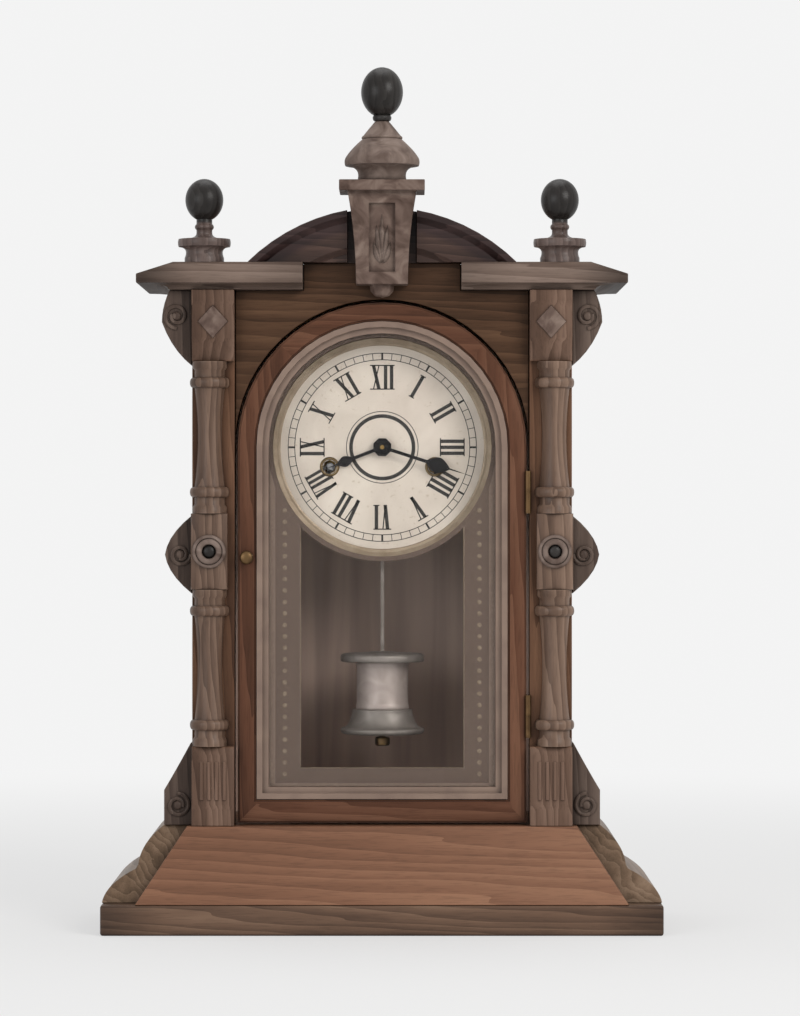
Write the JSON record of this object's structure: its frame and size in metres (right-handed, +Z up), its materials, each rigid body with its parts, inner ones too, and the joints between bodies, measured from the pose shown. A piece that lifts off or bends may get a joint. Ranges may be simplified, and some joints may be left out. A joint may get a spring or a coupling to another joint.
{
  "type": "shelf clock",
  "caption": "Victorian walnut shelf clock with an arched glass door, turned finials, split columns and a swinging jar pendulum behind the door.",
  "frame": {"origin": "middle of the plinth's underside", "axes": "+Z up, +X to the viewer's right, the front with the door faces -Y"},
  "size_m": [0.367, 0.15, 0.5684],
  "materials": {
    "walnut": "polished",
    "dark_walnut": "polished",
    "red_walnut": "polished",
    "burr_walnut": "satin",
    "gilt_moulding": "worn gilt",
    "glass": "clear",
    "brass": "lacquered",
    "steel": "satin",
    "blued_steel": "black",
    "dial_enamel": "aged cream",
    "silvered": "aged",
    "cast_iron": "black"
  },
  "bodies": {
    "case": {"base_plinth": "dark_walnut", "base_front_panel": "walnut", "base_end_right": "dark_walnut", "base_end_left": "dark_walnut", "case_floor": "walnut", "side_panel_right": "walnut", "side_panel_left": "walnut", "backboard": "walnut", "base_back_rail": "walnut", "top_board": "walnut", "head_board": "red_walnut", "pilaster_right": "red_walnut", "pilaster_left": "red_walnut", "column_right": "dark_walnut", "column_left": "dark_walnut", "lower_bracket_right": "dark_walnut", "lower_bracket_left": "dark_walnut", "side_boss_right": "dark_walnut", "side_boss_left": "dark_walnut", "upper_bracket_right": "dark_walnut", "upper_bracket_left": "dark_walnut", "cornice_right": "dark_walnut", "cornice_left": "dark_walnut", "hood_arch": "dark_walnut", "keystone": "burr_walnut", "crest_urn": "burr_walnut", "crest_ball": "dark_walnut", "side_finial_right": "dark_walnut", "side_finial_left": "dark_walnut", "case_hinge_lower": "brass", "case_hinge_upper": "brass", "dial_pan": "dial_enamel", "dial_bezel": "brass", "front_plate": "brass", "back_plate": "brass", "time_mainspring": "steel", "strike_mainspring": "steel", "gong_coil": "cast_iron", "gong_stand": "cast_iron"},
    "door": {"door_frame": "red_walnut", "door_sight_moulding": "gilt_moulding", "door_glass": "glass", "door_knob": "brass", "door_hinge_lower": "brass", "door_hinge_upper": "brass"},
    "minute_arbor": {"centre_wheel": "brass", "minute_hand": "blued_steel"},
    "hour_pipe": {"hour_wheel": "brass", "hour_hand": "blued_steel"},
    "minute_wheel": {"minute_wheel": "brass"},
    "third_wheel": {"third_wheel": "brass"},
    "escape_wheel": {"escape_wheel": "brass"},
    "time_great_wheel": {"time_great_wheel": "brass"},
    "time_winding_arbor": {"time_winding_arbor": "steel"},
    "strike_great_wheel": {"strike_great_wheel": "brass"},
    "strike_winding_arbor": {"strike_winding_arbor": "steel"},
    "verge": {"verge": "steel"},
    "pendulum": {"pendulum_rod": "brass", "pendulum_bob": "silvered"},
    "strike_hammer": {"strike_hammer": "steel"}
  },
  "joints": [
    {"name": "door_swing", "type": "hinge", "parent": "case", "child": "door", "pos_m": [0.096, -0.0473, 0.2], "axis": [0, 0, 1], "range_deg": [0, 100]},
    {"name": "minute_turn", "type": "hinge", "parent": "case", "child": "minute_arbor", "pos_m": [0, 0, 0.319], "axis": [0, 1, 0], "continuous": true},
    {"name": "hour_turn", "type": "hinge", "parent": "case", "child": "hour_pipe", "pos_m": [0, 0, 0.319], "axis": [0, 1, 0], "continuous": true},
    {"name": "minute_wheel_turn", "type": "hinge", "parent": "case", "child": "minute_wheel", "pos_m": [0, 0, 0.3046], "axis": [0, 1, 0], "continuous": true},
    {"name": "third_turn", "type": "hinge", "parent": "case", "child": "third_wheel", "pos_m": [-0.00826, 0, 0.34407], "axis": [0, 1, 0], "continuous": true},
    {"name": "escape_turn", "type": "hinge", "parent": "case", "child": "escape_wheel", "pos_m": [0, 0, 0.365], "axis": [0, 1, 0], "continuous": true},
    {"name": "time_great_turn", "type": "hinge", "parent": "case", "child": "time_great_wheel", "pos_m": [0.035, 0, 0.306], "axis": [0, 1, 0], "continuous": true},
    {"name": "time_winding", "type": "hinge", "parent": "case", "child": "time_winding_arbor", "pos_m": [0.035, 0, 0.306], "axis": [0, 1, 0], "continuous": true},
    {"name": "strike_great_turn", "type": "hinge", "parent": "case", "child": "strike_great_wheel", "pos_m": [-0.035, 0, 0.306], "axis": [0, 1, 0], "continuous": true},
    {"name": "strike_winding", "type": "hinge", "parent": "case", "child": "strike_winding_arbor", "pos_m": [-0.035, 0, 0.306], "axis": [0, 1, 0], "continuous": true},
    {"name": "pendulum_swing", "type": "hinge", "parent": "case", "child": "pendulum", "pos_m": [0, 0, 0.385], "axis": [0, 1, 0], "range_deg": [-4, 4]},
    {"name": "verge_rock", "type": "hinge", "parent": "case", "child": "verge", "pos_m": [0, 0, 0.385], "axis": [0, 1, 0], "range_deg": [-4, 4]},
    {"name": "hammer_lift", "type": "hinge", "parent": "case", "child": "strike_hammer", "pos_m": [-0.0392, 0, 0.351], "axis": [0, 1, 0], "range_deg": [0, 20]}
  ],
  "couplings": [
    {"joint": "hour_turn", "follows": "minute_turn", "ratio": 0.083333},
    {"joint": "minute_wheel_turn", "follows": "minute_turn", "ratio": -0.33333},
    {"joint": "third_turn", "follows": "minute_turn", "ratio": -10},
    {"joint": "escape_turn", "follows": "minute_turn", "ratio": 90},
    {"joint": "time_great_turn", "follows": "minute_turn", "ratio": -0.1},
    {"joint": "verge_rock", "follows": "pendulum_swing", "ratio": 1}
  ]
}
